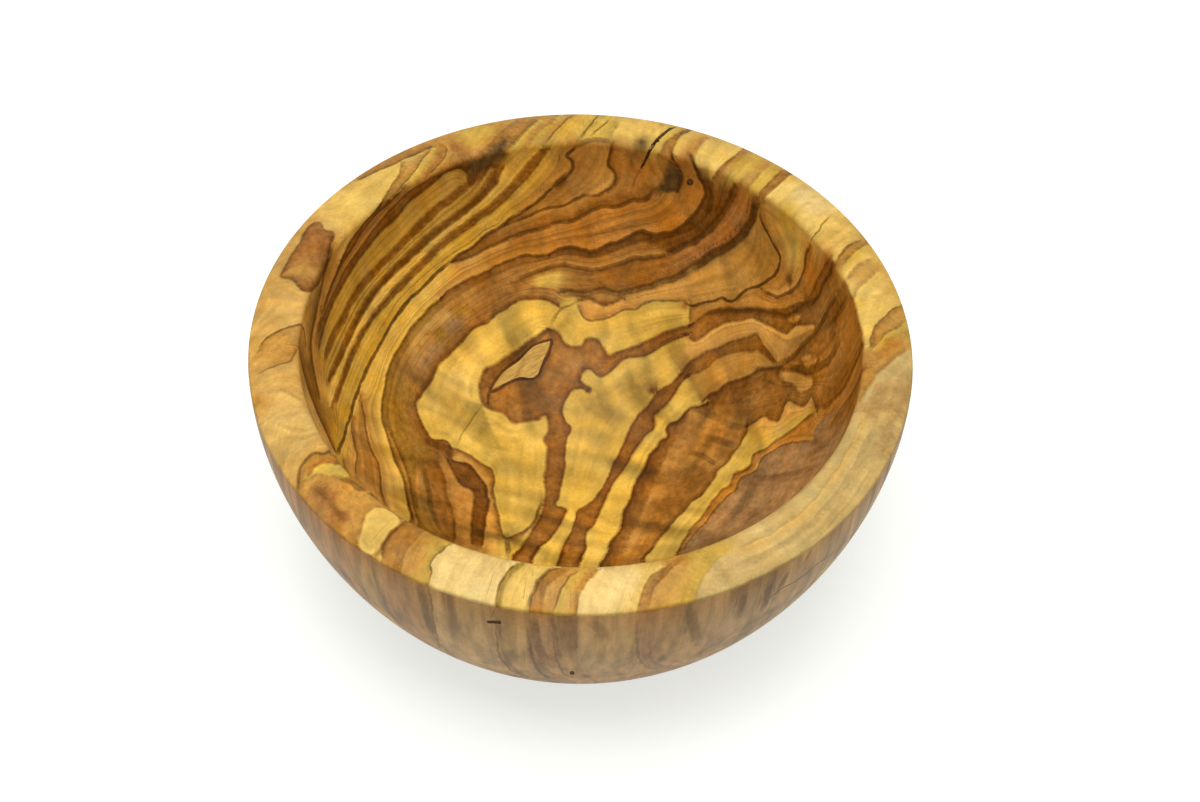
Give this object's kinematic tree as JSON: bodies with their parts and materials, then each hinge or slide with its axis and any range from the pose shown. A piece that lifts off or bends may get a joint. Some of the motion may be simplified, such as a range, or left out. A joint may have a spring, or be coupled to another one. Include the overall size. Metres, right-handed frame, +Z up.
{
  "type": "wooden bowl",
  "caption": "Round turned olive wood bowl with a thick softly domed lip, a deep rounded hollow and a flat foot, with natural knots and a filled drying check in the wood.",
  "frame": {"origin": "middle of the foot's underside", "axes": "+Z up along the turning axis, -Y towards the viewer of the picture, +X to the viewer's right"},
  "size_m": [0.12, 0.12, 0.055],
  "materials": {
    "olive_wood": "oiled and hand-rubbed to a satin, golden with dark brown figure",
    "pale_knot_wood": "oiled satin, pale straw",
    "resin_fill": "dark dried resin and bark dust, sanded flush",
    "bark": "dark brown bark, sanded flush"
  },
  "bodies": {
    "root": {"bowl_body": "olive_wood", "floor_knot": "pale_knot_wood", "rim_check_fill": "resin_fill", "inner_pin_knot": "bark", "outer_pin_knot": "bark", "outer_bark_fleck": "bark"}
  },
  "joints": []
}
